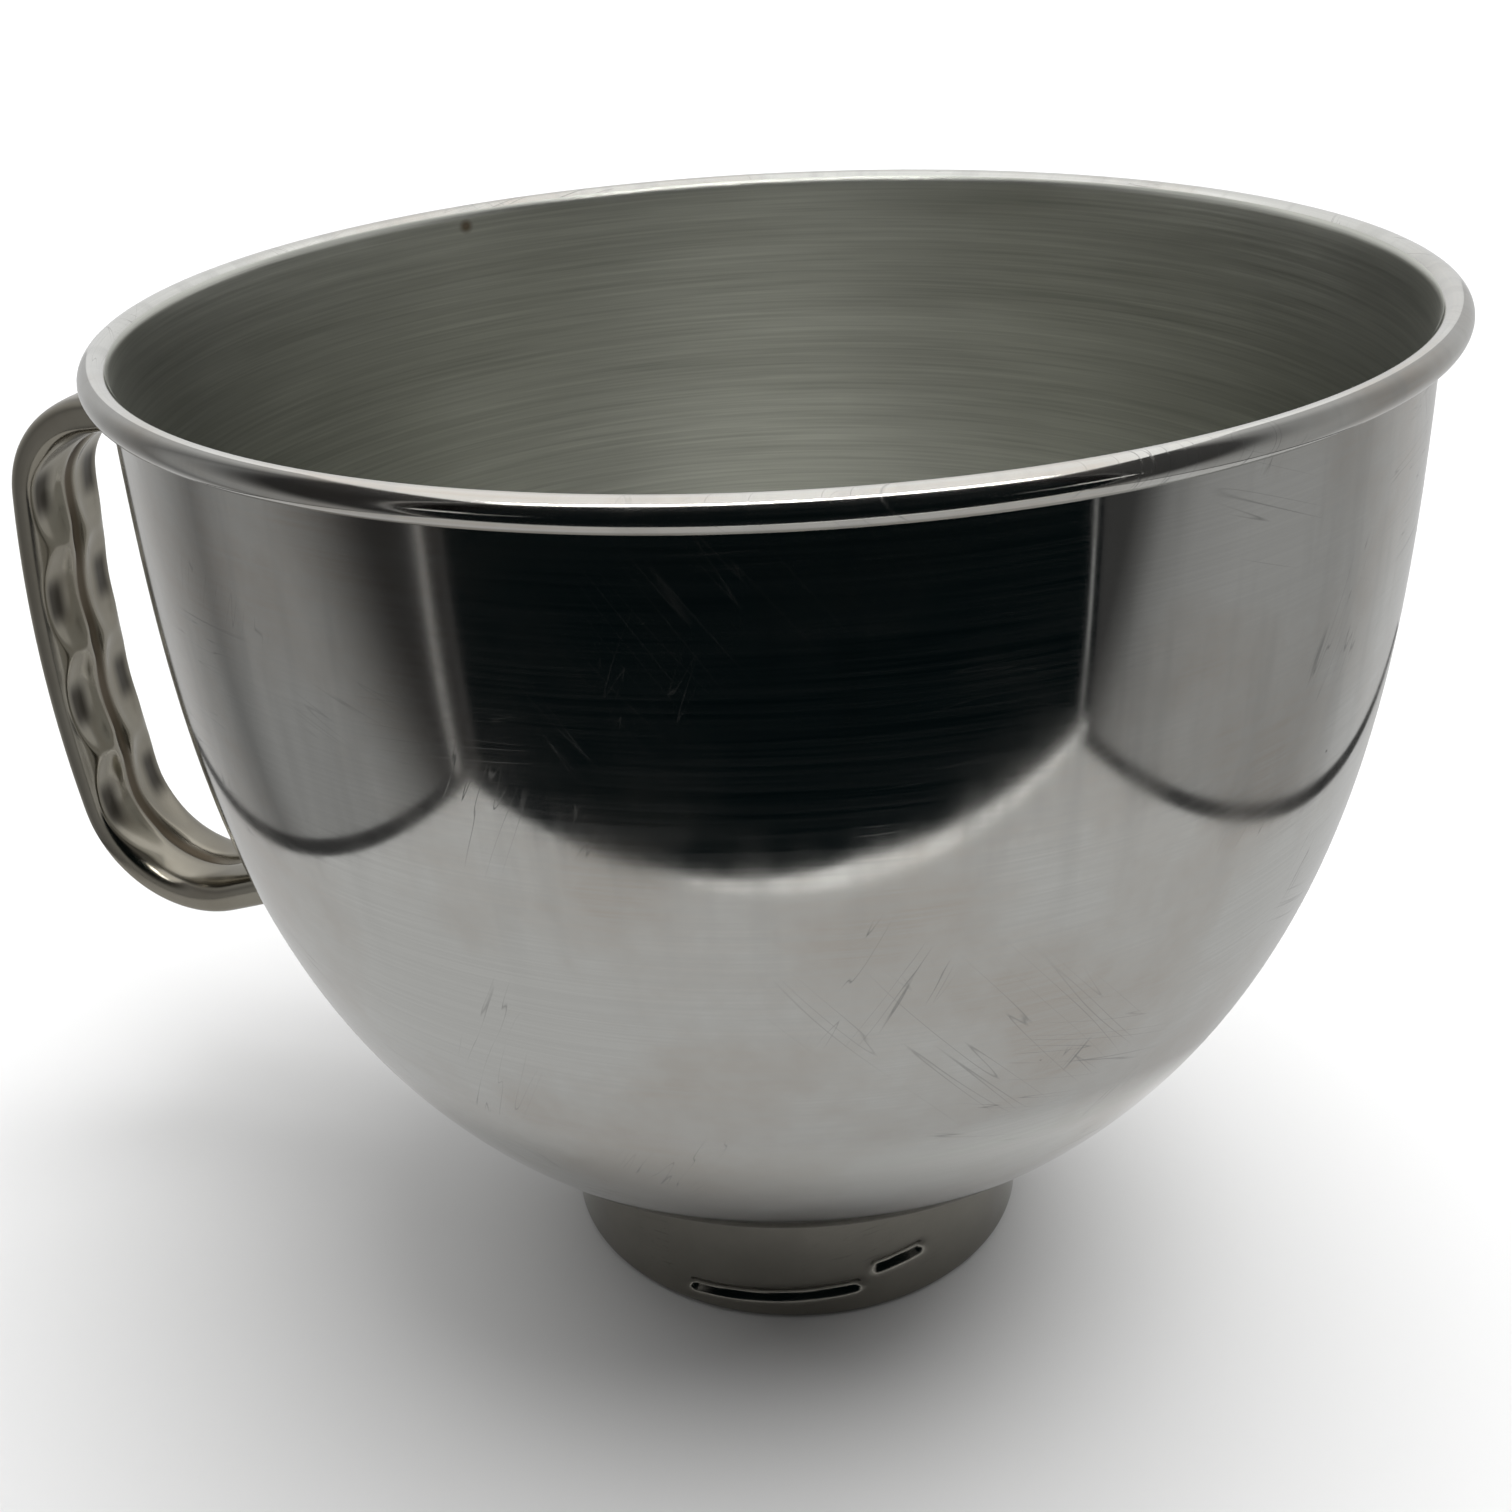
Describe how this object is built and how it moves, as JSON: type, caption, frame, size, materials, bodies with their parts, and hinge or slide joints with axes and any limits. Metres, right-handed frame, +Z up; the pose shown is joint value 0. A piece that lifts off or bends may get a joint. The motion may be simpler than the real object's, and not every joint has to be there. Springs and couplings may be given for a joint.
{
  "type": "stand mixer bowl",
  "caption": "Deep stainless steel mixing bowl with a curled rim, a hollow side handle with finger grips, and a pressed twist-lock collar under the base.",
  "frame": {"origin": "on the floor plane under the middle of the whole part's box, handle included; the bowl's own axis stands 24.6 mm along +X from it", "axes": "+Z up out of the mouth, the handle points along -X, +Y completes the right-handed frame"},
  "size_m": [0.2782, 0.229, 0.1905],
  "materials": {
    "bowl_steel": "mirror-polished stainless outside, satin stainless inside",
    "collar_steel": "polished stainless, slightly dull from use",
    "handle_steel": "polished stainless, warm from tarnish, brown in the seam"
  },
  "bodies": {
    "root": {"bowl_body": "bowl_steel", "base_collar": "collar_steel", "handle": "handle_steel"}
  },
  "joints": []
}
